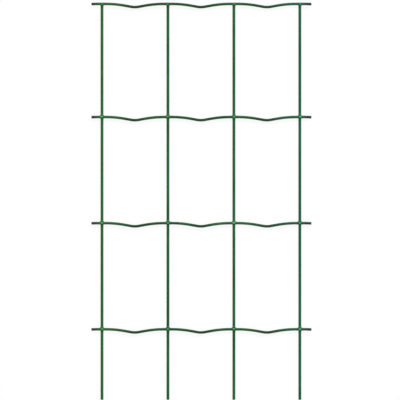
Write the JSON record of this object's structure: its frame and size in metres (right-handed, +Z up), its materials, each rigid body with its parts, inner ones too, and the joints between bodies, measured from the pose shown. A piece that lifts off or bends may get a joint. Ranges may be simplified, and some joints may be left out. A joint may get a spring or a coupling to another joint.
{
  "type": "flat piece of welded wire fencing",
  "caption": "Flat cut piece of green plastic-coated welded fence mesh: straight uprights, crimped line wires, free upright ends along one edge.",
  "frame": {"origin": "bottom centre of the piece's box, on the floor that it lies on", "axes": "+X along the line wires, +Y along the uprights towards the edge with no free ends, +Z up"},
  "size_m": [0.2118, 0.3824, 0.0049],
  "materials": {
    "green_coating": "satin dark green plastic coating on steel wire"
  },
  "bodies": {
    "root": {"wire_mesh": "green_coating"}
  },
  "joints": []
}
